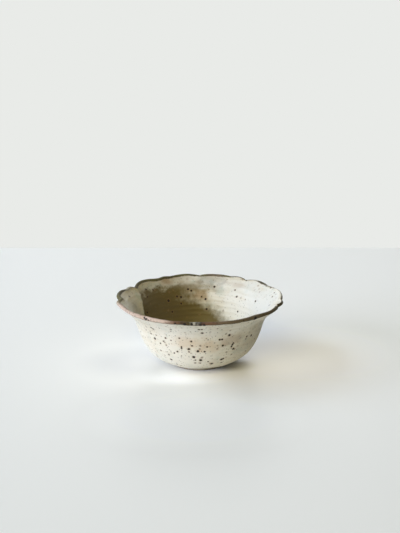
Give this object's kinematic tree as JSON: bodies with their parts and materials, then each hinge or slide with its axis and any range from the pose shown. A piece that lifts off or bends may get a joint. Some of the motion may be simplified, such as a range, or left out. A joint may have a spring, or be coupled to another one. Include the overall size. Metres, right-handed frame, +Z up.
{
  "type": "bowl",
  "caption": "Speckled stoneware bowl with a low foot ring, a rounded wall and a flared lip pinched into uneven lobes, edged in bare iron-brown clay.",
  "frame": {"origin": "middle of the bowl's outline, on the table that the foot ring stands on", "axes": "+Z up out of the bowl's mouth; -Y is the side that faces the viewer in the picture; +X is the viewer's right"},
  "size_m": [0.154, 0.153, 0.0634],
  "materials": {
    "bare_clay": "matt, fine sandy grain",
    "outer_glaze": "satin off-white glaze with iron spots",
    "inner_glaze": "satin off-white glaze with iron spots",
    "iron_rim": "satin iron-brown clay where the glaze breaks"
  },
  "bodies": {
    "root": {"foot_ring": "bare_clay", "clay_wall": "bare_clay", "outer_glaze": "outer_glaze", "inner_glaze": "inner_glaze", "rim_edge": "iron_rim"}
  },
  "joints": []
}
